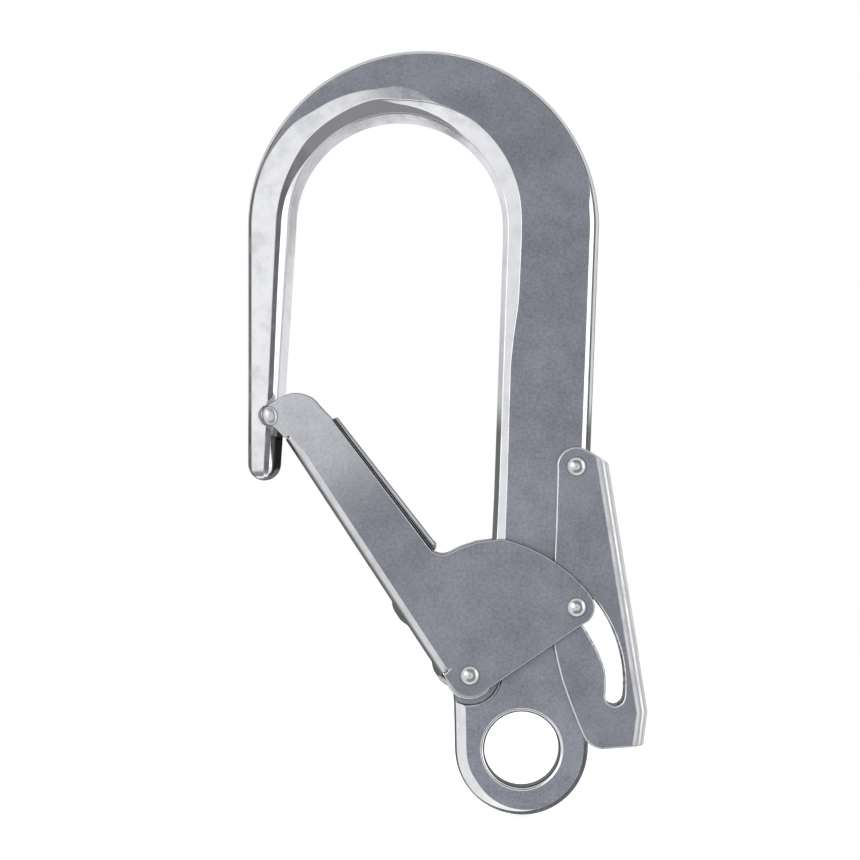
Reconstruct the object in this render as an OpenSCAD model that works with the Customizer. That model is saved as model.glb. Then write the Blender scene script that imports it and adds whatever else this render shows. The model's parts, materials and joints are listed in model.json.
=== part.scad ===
// Large-opening eye hook: a forged hook body with an eye at its foot, a
// spring-loaded gate, and a squeeze lever that locks the gate shut.
// Frame: Z up along the hook, X towards the spine side, Y through the thickness.
// The origin is the centre of the eye, halfway through the thickness.

/* [Hook body] */
// Thickness of the forging
body_t = 12; // [11.8:0.1:12.2]
// Radius of the hole in the eye
eye_r = 11; // [10:0.25:11.5]
// Outer radius of the eye
eye_outer_r = 19.7; // [19.4:0.1:20]
// Chamfer on the rim of the eye hole
eye_chamfer = 1.2; // [0.6:0.1:1.5]
// Outer radius of the bow
bow_outer_r = 51.8; // [51.6:0.1:52]
// Inner radius of the bow
bow_inner_r = 30.4; // [30.2:0.1:30.6]
// Height of the bow's centres above the eye
bow_z = 153.9; // [153.5:0.1:154.5]

/* [Gate] */
// How far the gate opens, in degrees
gate_travel = 40; // [36:1:40]
// Thickness of the gate's sheet steel
gate_sheet = 1.5; // [1.3:0.1:1.5]
// Clear width between the gate's cheeks
gate_inner_w = 16.2; // [16.2:0.1:16.4]
// Thickness of the liner's sheet steel
liner_sheet = 1.2; // [1:0.1:1.3]

/* [Lock lever] */
// How far the lever is squeezed, in degrees
lever_travel = 5.5; // [5.5:0.1:5.6]
// Thickness of the lever's sheet steel
lever_sheet = 1.5; // [1.3:0.1:1.5]
// Clear width between the lever's cheeks
lever_inner_w = 12.6; // [12.6:0.1:12.7]
// Width of the curved slot
slot_w = 6.1; // [5.8:0.1:6.2]

/* [Pins] */
// Diameter of the gate rivet's shank
gate_pin_d = 4; // [3.6:0.1:4.2]
// Diameter of the lever rivet's shank
lever_pin_d = 3.4; // [3:0.1:3.6]
// Diameter of the lock pin's shank
lock_pin_d = 3.2; // [3:0.1:3.2]
// Diameter of the domed rivet heads
head_d = 6; // [5.6:0.1:6.2]
// Height of the domed rivet heads
head_h = 1.6; // [1.3:0.1:1.7]

/* [Hidden] */
$fn = 64;

// Pivots in the X, Z plane
gate_pivot = [-15.35, 21.9];
lever_pivot = [16, 83.2];
lock_point = [16, 41.9];

// Hook body
half_t = body_t / 2;
bow_outer_x = -28.9;
bow_inner_x = -35.9;
leg_outer_x = bow_outer_x - bow_outer_r;
tip_r = 4.9;
tip_z = 83.9;
leg_length = bow_z - tip_z;
turn = 180;
recess_r = 9;
recess_d = 1.8;
scoop_r = 35;

// Clearance between a sleeve and its bore
bore_gap = 0.05;

// Gate
gate_angle = 123.3;
gate_half = gate_inner_w / 2;
gate_outer_half = gate_half + gate_sheet;
gate_bend = 3;
web_v = -7.2;
lobe_r = 6.4;
plate_r = 41.2;
corner_r = 5.3;
lock_r = norm(lock_point - gate_pivot);
lock_start = atan2(lock_point[1] - gate_pivot[1], lock_point[0] - gate_pivot[0]);
web_start = 7.6;
web_end = 87.5;
tongue_half = 3.8;
bump_r = 7.8;
bump_h = 1.1;
bump_half = 5;

// Lever
lever_half = lever_inner_w / 2;
lever_outer_half = lever_half + lever_sheet;
lever_bend = 2;
lever_top_r = 5.8;
lever_knee = [37.1, 11];
lever_toe = [35.8, 1];
lever_shoulder = [25.4, 84.5];
slot_centre = turned(gate_pivot, lever_pivot, lever_travel);
slot_top = lock_start + lever_travel + 2;
slot_bottom = lock_start + lever_travel - gate_travel - 3.6;
pin_room = 0.35;

// Springs
coil_r = 6.5;
wire_r = 0.8;
pocket_r = 2.6;
pocket_z = 67.5;
pocket_floor_x = 12.6;
push_spring_r = 2.2;
push_wire = 0.7;

// A point turned anticlockwise about a centre, both in the X, Z plane
function turned(p, centre, angle) =
    let (d = p - centre)
    centre + [d[0] * cos(angle) - d[1] * sin(angle), d[0] * sin(angle) + d[1] * cos(angle)];

// A point at a radius and an angle from a centre
function polar(centre, r, angle) = centre + r * [cos(angle), sin(angle)];

// Points of an arc, from one angle to another
function arc(centre, r, from, to, steps) =
    [for (i = [0:steps]) polar(centre, r, from + (to - from) * i / steps)];

// ---- Hook body ----

// The body is lofted through stations. The place of a station is a distance t:
// up the leg in millimetres, round the bow in degrees, down the spine in millimetres.
bow_start = leg_length;
bow_end = leg_length + turn;

// Inner and outer edges of the spine at height z
function spine_inner_x(z) = lookup(z, [
    [0, -19.7], [14.5, -19.95], [19.5, -20.4], [23.5, -20.4], [28, -19.0],
    [61.6, -8.73], [75, -8.1], [149.8, -5.5], [160, -5.5]]);
function scoop_x(z) =
    gate_pivot[0] + sqrt(max(pow(scoop_r, 2) - pow(z - gate_pivot[1], 2), 0));
function spine_outer_x(z) = lookup(z, [
    [0, 19.7], [6, 19.6], [16, scoop_x(16)], [22, scoop_x(22)], [28, scoop_x(28)],
    [34, scoop_x(34)], [40, scoop_x(40)], [43.4, scoop_x(43.4)], [46, 12.4],
    [50, 15], [54, 18], [58, 19.2], [88, 20.4], [153.9, 22.9]]);

function inner_edge(t) =
    t < bow_start ? [lookup(t, [[0, leg_outer_x + 2 * tip_r], [leg_length, bow_inner_x - bow_inner_r]]),
                     tip_z + t]
    : t < bow_end ? polar([bow_inner_x, bow_z], bow_inner_r, bow_end - t)
    : [spine_inner_x(bow_z - (t - bow_end)), bow_z - (t - bow_end)];
function outer_edge(t) =
    t < bow_start ? [leg_outer_x, tip_z + t]
    : t < bow_end ? polar([bow_outer_x, bow_z], bow_outer_r, bow_end - t)
    : [spine_outer_x(bow_z - (t - bow_end)), bow_z - (t - bow_end)];

// How far the inner wall, the two inner bevels and the outer bevel reach in
// from the edges, and how high the inner wall stands
function wall_run(t) = lookup(t, [
    [0, 1.6], [60, 2.3], [170, 2.3], [200, 1.6], [250, 1.5], [340, 1.5], [370, 0.6]]);
function wall_rise(t) = lookup(t, [[0, 3.4], [170, 3.2], [230, 2.6], [340, 2.8], [370, 3.8]]);
function bevel_mid(t) = lookup(t, [
    [0, 3.4], [60, 4.6], [110, 5.2], [160, 5.4], [200, 3.9], [250, 3.4], [340, 3.2], [370, 1.2]]);
function bevel_rise(t) = lookup(t, [[0, 5.1], [70, 5.1], [160, 4.8], [200, 4.7], [340, 4.8], [370, 5.3]]);
function bevel_in(t) = lookup(t, [
    [0, 8.0], [60, 12.0], [92, 14.2], [102, 13.7], [116, 12.1], [130, 11.1], [158, 10.8],
    [172, 7.2], [188, 7.4], [225, 7.3], [250, 5.4], [340, 5.2], [375, 2.0]]);
function bevel_out(t) = lookup(t, [[0, 1.4], [200, 1.4], [235, 2.4], [252, 3.0], [330, 3.0], [370, 2.0]]);
function wall_out(t) = lookup(t, [[0, 0.5], [220, 0.5], [252, 0.9], [330, 0.9], [370, 0.6]]);
outer_rise = 3.8;

// Section at a station: distance from the inner edge, and height either side
function half_section(t, w) =
    let (flat_end = w - bevel_out(t), flat_start = min(bevel_in(t), flat_end - 0.3))
    [[0, 0], [wall_run(t), wall_rise(t)], [min(bevel_mid(t), flat_start - 0.3), bevel_rise(t)],
     [flat_start, half_t], [flat_end, half_t], [w - wall_out(t), outer_rise], [w, 0]];
function section(t, w) =
    let (h = half_section(t, w))
    concat(h, [for (i = [len(h) - 2:-1:1]) [h[i][0], -h[i][1]]]);

// The ring of points at a station
function ring(t) =
    let (a = inner_edge(t), b = outer_edge(t), w = norm(b - a), d = (b - a) / w)
    [for (s = section(t, w)) [a[0] + d[0] * s[0], s[1], a[1] + d[1] * s[0]]];

// Rings that close the rounded tip of the leg, at an angle below its centre
tip_centre_x = leg_outer_x + tip_r;
function tip_ring(angle) =
    [for (p = ring(0))
        [tip_centre_x + (p[0] - tip_centre_x) * cos(angle),
         p[1] * (1 - 0.45 * (1 - cos(angle))),
         tip_z - tip_r * sin(angle)]];

spine_stops = [for (z = [150, 140, 125, 105, 88, 75, 66, 61.6, 58, 54, 50, 46, 43.4, 40, 37,
                         34, 31, 28, 25.5, 23.5, 21.5, 19.5, 16, 12, 6, 0]) bow_end + bow_z - z];
body_rings = concat(
    [for (angle = [84, 68, 50, 32, 15]) tip_ring(angle)],
    [for (t = [0, 12, 24, 36, 48, 60]) ring(t)],
    [for (t = [bow_start:4.5:bow_end]) ring(t)],
    [for (t = spine_stops) ring(t)]);
ring_n = len(body_rings[0]);
body_points = [for (r = body_rings) each r];
body_faces = concat(
    [[for (j = [0:ring_n - 1]) j]],
    [for (i = [0:len(body_rings) - 2], j = [0:ring_n - 1])
        let (k = (j + 1) % ring_n, a = i * ring_n, b = a + ring_n)
        each [[a + j, b + j, b + k], [a + j, b + k, a + k]]],
    [[for (j = [ring_n - 1:-1:0]) (len(body_rings) - 1) * ring_n + j]]);

module across(r, length, at) {
    translate([at[0], 0, at[1]]) rotate([90, 0, 0]) cylinder(r = r, h = length, center = true);
}

module eye_disc() {
    rotate([90, 0, 0]) rotate_extrude($fn = 96) polygon([
        [0, -half_t], [eye_outer_r - 2, -half_t], [eye_outer_r - 0.6, -outer_rise],
        [eye_outer_r, 0], [eye_outer_r - 0.6, outer_rise], [eye_outer_r - 2, half_t],
        [0, half_t]]);
}

module eye_hole() {
    rim = half_t - eye_chamfer;
    rotate([90, 0, 0]) rotate_extrude($fn = 96) polygon([
        [0, -half_t - 1], [eye_r + eye_chamfer + 1, -half_t - 1], [eye_r, -rim],
        [eye_r, rim], [eye_r + eye_chamfer + 1, half_t + 1], [0, half_t + 1]]);
}

spring_foot_angle = -62;
spring_foot = polar(gate_pivot, coil_r, spring_foot_angle);

module hook_body() {
    color("lightslategray") difference() {
        union() {
            polyhedron(points = body_points, faces = body_faces, convexity = 10);
            eye_disc();
        }
        eye_hole();
        across(gate_sleeve_r + bore_gap, body_t + 2, gate_pivot);
        across(lever_sleeve_r + bore_gap, body_t + 2, lever_pivot);
        for (side = [-1, 1]) {
            translate([0, side * (body_t - recess_d), 0]) across(recess_r, body_t, gate_pivot);
            translate([0, side * half_t, 0]) across(wire_r + 0.1, 2 * (recess_d + 2.2), spring_foot);
        }
        translate([pocket_floor_x, 0, pocket_z]) rotate([0, 90, 0]) cylinder(r = pocket_r, h = 20);
    }
}

// ---- Folded sheet ----

// Section of a folded channel: its web lies on x = 0 and it opens towards +x
module channel_section(half, sheet, bend, reach) {
    difference() {
        rounded_block(half, bend, reach);
        translate([sheet, 0]) rounded_block(half - sheet, bend - sheet, reach);
    }
}

// A block with its two corners on x = 0 rounded
module rounded_block(half, corner, reach) {
    translate([corner, -half]) square([reach - corner, 2 * half]);
    translate([0, corner - half]) square([reach, 2 * (half - corner)]);
    for (side = [-1, 1]) translate([corner, side * (half - corner)]) circle(corner);
}

// A channel that runs along +x, with its web on y = 0 and open towards +y
module channel(length, half, sheet, bend, reach) {
    rotate([90, 0, 90]) linear_extrude(length) channel_section(half, sheet, bend, reach);
}

// Drawing plane of the X, Z plane: drawn x is X, drawn y is Z, drawn z is -Y
module drawing_plane() {
    rotate([90, 0, 0]) children();
}

// Plane of the gate: u runs from its pivot towards the nose, v towards the open side
module gate_plane() {
    drawing_plane() translate(gate_pivot) rotate(gate_angle) mirror([0, 1, 0]) children();
}

// ---- Gate ----

lock_uv = [lock_r * cos(gate_angle - lock_start), lock_r * sin(gate_angle - lock_start)];
nose_centre = [90.6, -1.5];
nose_r = 8;
lug_centre = [96.5, -7.6];
lug_r = 1.95;

// Outline of a gate cheek in the gate's plane
gate_outline = concat(
    [[web_start, web_v], [86, web_v], [90, -7.5], [92.2, -7.9], [94.4, -8.8]],
    arc(lug_centre, lug_r, -105, 5, 8),
    [[98.8, -5.3]],
    arc(nose_centre, nose_r, 0, 90, 10),
    [[85, 7.5], [38.4, 10.6]],
    arc([38.2, 15.6], 5.0, 262, 186, 6),
    [[32.9, 18.2], [31.6, 23.2]],
    arc([0, 0], plate_r, 46.5, 88, 14),
    arc(lock_uv, corner_r, 75, 190, 10),
    arc([0, 0], lobe_r, 180, 275, 12),
    [[4.2, -5.8], [6.6, -5.8]]);

module gate_cheek_area() {
    polygon(gate_outline);
}

// A bump pressed outwards in the web, centred at a distance u
module web_bump(u) {
    axis_v = web_v - bump_h + bump_r;
    difference() {
        translate([u, axis_v, 0]) cylinder(r = bump_r, h = 2 * bump_half, center = true);
        translate([u, axis_v, 0]) cylinder(r = bump_r - gate_sheet, h = 2 * bump_half + 1, center = true);
        translate([u - 20, web_v + 0.4, -20]) cube(40);
    }
}

module gate_channel() {
    color("silver") gate_plane() difference() {
        union() {
            intersection() {
                translate([-10, web_v, 0]) channel(web_end + 10, gate_outer_half, gate_sheet, gate_bend, 60);
                linear_extrude(30, center = true) gate_cheek_area();
            }
            for (side = [-1, 1]) translate([0, 0, side * (gate_half + gate_sheet / 2)])
                linear_extrude(gate_sheet, center = true) intersection() {
                    gate_cheek_area();
                    translate([web_end, -20]) square(40);
                }
            // Tongue between the two springs
            translate([0.5, web_v, -tongue_half]) cube([web_start + 1, gate_sheet, 2 * tongue_half]);
            web_bump(26.4);
            web_bump(4.9);
        }
        // Room for the coils either side of the tongue
        for (side = [-1, 1]) translate([-20, web_v - 3, side * (tongue_half + 5) - 5])
            cube([20 + web_start, 6, 10]);
        translate([-20, -20, -tongue_half - 0.01]) cube([20.5, 40, 2 * tongue_half + 0.02]);
        cylinder(d = gate_pin_d, h = 40, center = true);
        translate(lock_uv) cylinder(d = lock_pin_d, h = 40, center = true);
    }
}

liner_half = gate_half - 0.02;
liner_v = web_v + gate_sheet + 0.02;
liner_start = 33.5;
liner_end = 84.9;
liner_outline = concat(
    [[liner_start, liner_v], [liner_end - 5, liner_v], [liner_end, liner_v + 2], [liner_end, 8.9]],
    arc([37.2, 11.4], 1.2, 80, 200, 6),
    [[liner_start, 4]]);

module gate_liner() {
    color("gray") gate_plane() intersection() {
        translate([0, liner_v, 0]) channel(90, liner_half, liner_sheet, 1.5, 40);
        linear_extrude(30, center = true) polygon(liner_outline);
    }
}

// A rivet along Y with a domed head at each end
module domed_rivet(shank_d, grip) {
    dome_r = (pow(head_d / 2, 2) + pow(head_h, 2)) / (2 * head_h);
    rotate([90, 0, 0]) {
        cylinder(d = shank_d, h = grip + 0.2, center = true);
        for (side = [0, 180]) rotate([side, 0, 0]) translate([0, 0, grip / 2])
            rotate_extrude() intersection() {
                translate([0, head_h - dome_r]) circle(dome_r);
                square([head_d / 2, head_h]);
            }
    }
}

module tube(outer_r, inner_r, length) {
    rotate([90, 0, 0]) difference() {
        cylinder(r = outer_r, h = length, center = true);
        cylinder(r = inner_r, h = length + 1, center = true);
    }
}

module at_pivot(p) {
    translate([p[0], 0, p[1]]) children();
}

module gate_rivet() {
    color("gainsboro") at_pivot(gate_pivot) domed_rivet(gate_pin_d, 2 * gate_outer_half);
}

gate_sleeve_r = 3;
module gate_sleeve() {
    color("lightgray") at_pivot(gate_pivot) tube(gate_sleeve_r, gate_pin_d / 2, gate_inner_w);
}

module lock_pin() {
    color("gainsboro") at_pivot(lock_point) domed_rivet(lock_pin_d, 2 * gate_outer_half);
}

// ---- Gate springs ----

coil_y = half_t - recess_d + 0.1 + wire_r;
coil_pitch = 2 * wire_r - 0.04;
coil_turns = 2;
foot_length = 3;
foot_r = wire_r - 0.1;
arm_v = web_v + gate_sheet + wire_r + 0.02;
arm_start_u = sqrt(pow(coil_r, 2) - pow(arm_v, 2));
arm_end_u = 28;

// One spring: its coils, a foot that sits in the body, and an arm that presses on
// the inside of the gate's web. Drawn in the gate's plane, on its +z side.
module gate_spring() {
    last_y = coil_y + (coil_turns - 1) * coil_pitch;
    for (i = [0:coil_turns - 1]) translate([0, 0, coil_y + i * coil_pitch])
        rotate_extrude() translate([coil_r, 0]) circle(wire_r, $fn = 24);
    translate([arm_start_u, arm_v, last_y]) rotate([0, 90, 0])
        cylinder(r = wire_r, h = arm_end_u - arm_start_u, $fn = 24);
    rotate(gate_angle - spring_foot_angle) translate([coil_r, 0, coil_y - foot_length])
        cylinder(r = foot_r, h = foot_length, $fn = 24);
}

module gate_spring_front() {
    color("dimgray") gate_plane() gate_spring();
}

module gate_spring_back() {
    color("dimgray") mirror([0, 1, 0]) gate_plane() gate_spring();
}

// ---- Lock lever ----

// Outline of a lever cheek in the X, Z plane
lever_outline = concat(
    arc(lever_pivot, lever_top_r, 190, 62, 12),
    [[23, 86.2], lever_shoulder, lever_knee, lever_toe, [23.9, 0]],
    arc([24, 4.6], 4.6, 255, 205, 5),
    [[17.7, 4.3], [13.6, 14.6], [11.6, 20.4], [10.1, 26.3], [9.2, 30.4], [9.3, 55.1], [9.8, 64.5]]);

// Place of the lock pin in the lever when the gate has turned by an angle
function pin_place(g) =
    turned(polar(gate_pivot, lock_r, lock_start - g), lever_pivot, lever_travel * g / gate_travel);
function pin_side(g, offset) =
    let (d = pin_place(g + 0.5) - pin_place(g - 0.5), n = [-d[1], d[0]] / norm(d))
    pin_place(g) + offset * n;

module slot_area() {
    inner = lock_r - slot_w / 2;
    outer = lock_r + slot_w / 2;
    room = lock_pin_d / 2 + pin_room;
    polygon(concat(
        arc(slot_centre, outer, slot_bottom, slot_top, 16),
        arc(slot_centre, inner, slot_top, slot_bottom, 16)));
    for (angle = [slot_bottom, slot_top]) translate(polar(slot_centre, lock_r, angle)) circle(slot_w / 2);
    polygon(concat(
        [for (g = [0:4:gate_travel]) pin_side(g, room)],
        [for (g = [gate_travel:-4:0]) pin_side(g, -room)]));
    translate(pin_place(0)) circle(room);
}

// One straight run of the folded lever, from a low point to a high point of its web
module lever_run(low, high, overrun) {
    d = high - low;
    translate(low) rotate(atan2(d[1], d[0])) translate([-overrun[0], 0, 0])
        channel(norm(d) + overrun[0] + overrun[1], lever_outer_half, lever_sheet, lever_bend, 60);
}

module lock_lever() {
    color("darkgray") drawing_plane() difference() {
        intersection() {
            union() {
                intersection() {
                    lever_run(lever_knee, lever_shoulder, [20, 20]);
                    translate([-10, lever_knee[1], -20]) cube([80, 90, 40]);
                }
                intersection() {
                    lever_run(lever_toe, lever_knee, [20, 20]);
                    translate([-10, -10, -20]) cube([80, lever_knee[1] + 10, 40]);
                }
            }
            linear_extrude(30, center = true) polygon(lever_outline);
        }
        linear_extrude(30, center = true) slot_area();
        translate(lever_pivot) cylinder(d = lever_pin_d, h = 40, center = true);
    }
}

module lever_rivet() {
    color("gainsboro") at_pivot(lever_pivot) domed_rivet(lever_pin_d, 2 * lever_outer_half);
}

lever_sleeve_r = 2.4;
module lever_sleeve() {
    color("lightgray") at_pivot(lever_pivot) tube(lever_sleeve_r, lever_pin_d / 2, lever_inner_w);
}

// Where the inner face of the lever's sloping web is at height z
web_slope = atan2(lever_knee[0] - lever_shoulder[0], lever_shoulder[1] - lever_knee[1]);
function web_inner_x(z) =
    lookup(z, [[lever_knee[1], lever_knee[0]], [lever_shoulder[1], lever_shoulder[0]]])
    - lever_sheet / cos(web_slope);

module lever_spring() {
    length = web_inner_x(pocket_z + push_spring_r) - pocket_floor_x - 0.05;
    color("dimgray") translate([pocket_floor_x + 0.02, 0, pocket_z]) rotate([0, 90, 0]) difference() {
        cylinder(r = push_spring_r, h = length);
        translate([0, 0, -1]) cylinder(r = push_spring_r - push_wire, h = length + 2);
    }
}

hook_body();
gate_channel();
gate_liner();
gate_rivet();
gate_sleeve();
gate_spring_front();
gate_spring_back();
lock_pin();
lock_lever();
lever_rivet();
lever_sleeve();
lever_spring();
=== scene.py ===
import math

import bmesh
import bpy
from mathutils import Matrix, Vector
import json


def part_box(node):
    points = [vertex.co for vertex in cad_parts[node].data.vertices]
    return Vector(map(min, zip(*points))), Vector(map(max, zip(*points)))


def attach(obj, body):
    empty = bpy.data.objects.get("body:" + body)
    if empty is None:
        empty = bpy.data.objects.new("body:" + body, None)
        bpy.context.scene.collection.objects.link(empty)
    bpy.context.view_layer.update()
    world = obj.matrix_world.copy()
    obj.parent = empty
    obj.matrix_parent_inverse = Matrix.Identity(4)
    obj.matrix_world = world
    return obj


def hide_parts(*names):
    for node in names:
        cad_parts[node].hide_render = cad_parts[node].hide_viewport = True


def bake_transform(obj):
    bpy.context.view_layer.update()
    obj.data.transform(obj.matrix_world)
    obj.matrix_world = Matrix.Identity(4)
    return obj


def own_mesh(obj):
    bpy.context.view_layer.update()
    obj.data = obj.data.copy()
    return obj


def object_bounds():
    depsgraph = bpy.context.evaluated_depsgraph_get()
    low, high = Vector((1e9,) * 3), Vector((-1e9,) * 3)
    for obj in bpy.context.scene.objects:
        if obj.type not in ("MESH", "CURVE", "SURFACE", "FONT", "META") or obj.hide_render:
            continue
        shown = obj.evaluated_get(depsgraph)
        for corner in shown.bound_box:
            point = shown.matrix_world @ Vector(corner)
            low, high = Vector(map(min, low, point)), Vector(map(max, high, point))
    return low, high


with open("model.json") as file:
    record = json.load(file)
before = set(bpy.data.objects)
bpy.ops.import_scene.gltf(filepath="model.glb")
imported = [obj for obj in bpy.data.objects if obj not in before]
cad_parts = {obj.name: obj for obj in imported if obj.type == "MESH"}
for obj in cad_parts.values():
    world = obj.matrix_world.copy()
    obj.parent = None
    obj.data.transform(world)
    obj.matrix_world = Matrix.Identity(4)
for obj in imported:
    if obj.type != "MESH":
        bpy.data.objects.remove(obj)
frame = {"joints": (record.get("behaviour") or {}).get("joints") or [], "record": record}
cad_low, cad_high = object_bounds()

# ---------------------------------------------------------------- sizes, in mm

MM = 0.001
joints = {j["name"]: j for j in frame["joints"]}
mounts = {m["name"]: m for m in frame["record"]["mounts"]}


def flat_mm(pos_m):
    """A point of the frame as (x, z) in mm."""
    return pos_m[0] / MM, pos_m[2] / MM


GATE_PIVOT = flat_mm(joints["gate_swing"]["pos_m"])
LEVER_PIVOT = flat_mm(joints["lever_squeeze"]["pos_m"])
EYE_R = mounts["eye_bore"]["dims"]["r_mm"]
LOCK_POINT = tuple((a + b) / 2 / MM for a, b in zip(*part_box("lock_pin")))[::2]

HALF_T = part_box("hook_body")[1].y / MM
EYE_OUTER_R = -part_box("hook_body")[0].z / MM
BOW_OUTER = (-28.9, 153.9)
BOW_OUTER_R = 51.8
BOW_INNER = (-35.9, 153.9)
BOW_INNER_R = 30.4
LEG_X = BOW_OUTER[0] - BOW_OUTER_R
TIP_R = 4.9
TIP_Z = 83.9
SPLIT_Z = 62.0
BOSS_R = 5.4
SCOOP_R = 35.0
RECESS_R = 9.0
RECESS_D = 1.8
EYE_RIM_R = 1.3

GATE_PIN_R = 2.0
LOCK_PIN_R = 1.6
LEVER_PIN_R = 1.7
GATE_SLEEVE_R = 3.0
LEVER_SLEEVE_R = 2.4
SLEEVE_GAP = 0.05

# The gate springs: radius of the coil, and the place of the foot round the pivot in degrees
COIL_R = 6.5
COIL_WIRE_R = 0.76
COIL_FOOT = -62.0
FOOT_HOLE_R = 0.95

# The pocket of the lever's push spring, bored into the spine along X
POCKET_R = 2.6
POCKET_Z = 67.5
POCKET_FLOOR_X = 12.6
PUSH_COIL_R = 1.85
PUSH_WIRE_R = 0.35
PUSH_TURNS = 8

SHEET = 1.5
LINER_SHEET = 1.2
GATE_HALF = 9.6
GATE_BEND = 3.0
GATE_ANGLE = math.radians(123.3)
WEB_V = -7.2
LEVER_HALF = 7.8
LEVER_BEND = 3.0
LEVER_SLOPE = 9.5
LEVER_RUN = 1.5

# ---------------------------------------------------------------- small helpers


def lookup(x, table):
    """A value between the rows of a table, and the end rows beyond it."""
    if x <= table[0][0]:
        return table[0][1]
    for (x0, y0), (x1, y1) in zip(table, table[1:]):
        if x <= x1:
            return y0 + (y1 - y0) * (x - x0) / (x1 - x0)
    return table[-1][1]


def soft_lookup(x, table, reach=6.0, steps=6):
    """A lookup with its corners rounded over a reach either side."""
    spread = [x + reach * i / steps for i in range(-steps, steps + 1)]
    return sum(lookup(s, table) for s in spread) / len(spread)


def polar(centre, r, degrees):
    """A point at a radius and an angle from a centre."""
    a = math.radians(degrees)
    return centre[0] + r * math.cos(a), centre[1] + r * math.sin(a)


def arc(centre, r, start, end, steps):
    return [polar(centre, r, start + (end - start) * i / steps) for i in range(steps + 1)]


def turned(p, centre, degrees):
    """A point turned round a centre."""
    a = math.radians(degrees)
    dx, dz = p[0] - centre[0], p[1] - centre[1]
    return (centre[0] + dx * math.cos(a) - dz * math.sin(a),
            centre[1] + dx * math.sin(a) + dz * math.cos(a))


def soften(points, cuts, steps=3):
    """Rounds each inner corner of a line with a short curve."""
    out = [points[0]]
    for a, b, c, cut in zip(points, points[1:], points[2:], cuts):
        before, after = Vector(a) - Vector(b), Vector(c) - Vector(b)
        p = Vector(b) + before * min(0.45, cut / max(before.length, 1e-6))
        q = Vector(b) + after * min(0.45, cut / max(after.length, 1e-6))
        for i in range(steps + 1):
            s = i / steps
            out.append(tuple(p * (1 - s) ** 2 + Vector(b) * 2 * s * (1 - s) + q * s * s))
    out.append(points[-1])
    return out


def make_object(name, verts, faces, sharp=35.0):
    """A mesh object from points in mm."""
    mesh = bpy.data.meshes.new(name)
    mesh.from_pydata([Vector(v) * MM for v in verts], [], faces)
    obj = bpy.data.objects.new(name, mesh)
    bpy.context.scene.collection.objects.link(obj)
    tidy_mesh(obj, sharp)
    return obj


def tidy_mesh(obj, sharp=35.0, merge=0.0):
    """Faces outwards, smooth shading, and edges sharper than an angle kept sharp."""
    bm = bmesh.new()
    bm.from_mesh(obj.data)
    if merge:
        bmesh.ops.remove_doubles(bm, verts=bm.verts, dist=merge * MM)
    bmesh.ops.recalc_face_normals(bm, faces=bm.faces)
    bm.to_mesh(obj.data)
    bm.free()
    obj.data.shade_smooth()
    obj.data.set_sharp_from_angle(angle=math.radians(sharp))


def weigh_normals(obj):
    """Lets large flat faces keep their own shading beside narrow rounded edges."""
    mod = obj.modifiers.new("normals", "WEIGHTED_NORMAL")
    mod.mode = "FACE_AREA"
    mod.weight = 60
    mod.keep_sharp = True
    apply_modifiers(obj)


def apply_modifiers(obj):
    graph = bpy.context.evaluated_depsgraph_get()
    mesh = bpy.data.meshes.new_from_object(obj.evaluated_get(graph))
    obj.modifiers.clear()
    old = obj.data
    obj.data = mesh
    bpy.data.meshes.remove(old)


def cut(obj, cutters, operation="DIFFERENCE"):
    """Cuts the cutters out of an object, or joins them to it, and removes them."""
    for cutter in cutters:
        mod = obj.modifiers.new("cut", "BOOLEAN")
        mod.operation = operation
        mod.solver = "EXACT"
        mod.object = cutter
    apply_modifiers(obj)
    for cutter in cutters:
        bpy.data.objects.remove(cutter)


def split_wide(obj):
    """Splits faces with many corners into triangles, so that a hole can be cut through them."""
    bm = bmesh.new()
    bm.from_mesh(obj.data)
    bmesh.ops.triangulate(bm, faces=[f for f in bm.faces if len(f.verts) > 4])
    bm.to_mesh(obj.data)
    bm.free()


def join_flats(obj):
    """Joins the triangles of each flat face again."""
    bm = bmesh.new()
    bm.from_mesh(obj.data)
    bmesh.ops.dissolve_limit(bm, angle_limit=math.radians(0.1), verts=bm.verts, edges=bm.edges)
    bm.to_mesh(obj.data)
    bm.free()


def add_bevel(obj, width, segments=2, angle=40.0):
    mod = obj.modifiers.new("edge", "BEVEL")
    mod.width = width * MM
    mod.segments = segments
    mod.limit_method = "ANGLE"
    mod.angle_limit = math.radians(angle)
    mod.use_clamp_overlap = False
    mod.loop_slide = False
    mod.miter_outer = "MITER_ARC"
    apply_modifiers(obj)


def lathe(name, profile, steps=96, at=(0, 0), flip=1):
    """Turns a line of (radius, y) about the Y axis through a point of the X, Z plane."""
    verts, rings = [], []
    for r, y in profile:
        if r < 1e-6:
            rings.append([len(verts)])
            verts.append((at[0], flip * y, at[1]))
            continue
        rings.append(list(range(len(verts), len(verts) + steps)))
        for i in range(steps):
            x, z = polar(at, r, 360.0 * i / steps)
            verts.append((x, flip * y, z))
    faces = []
    for a, b in zip(rings, rings[1:]):
        for i in range(steps):
            k = (i + 1) % steps
            face = [a[i % len(a)], a[k % len(a)], b[k % len(b)], b[i % len(b)]]
            face = list(dict.fromkeys(face))
            if len(face) > 2:
                faces.append(face)
    for ring in (rings[0], rings[-1]):
        if len(ring) > 1 and profile[0] != profile[-1]:
            faces.append(ring)
    if profile[0] == profile[-1]:
        count = len(verts) - steps
        faces = [[v % count if v >= count else v for v in f] for f in faces]
        verts = verts[:count]
    return make_object(name, verts, faces)


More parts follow.
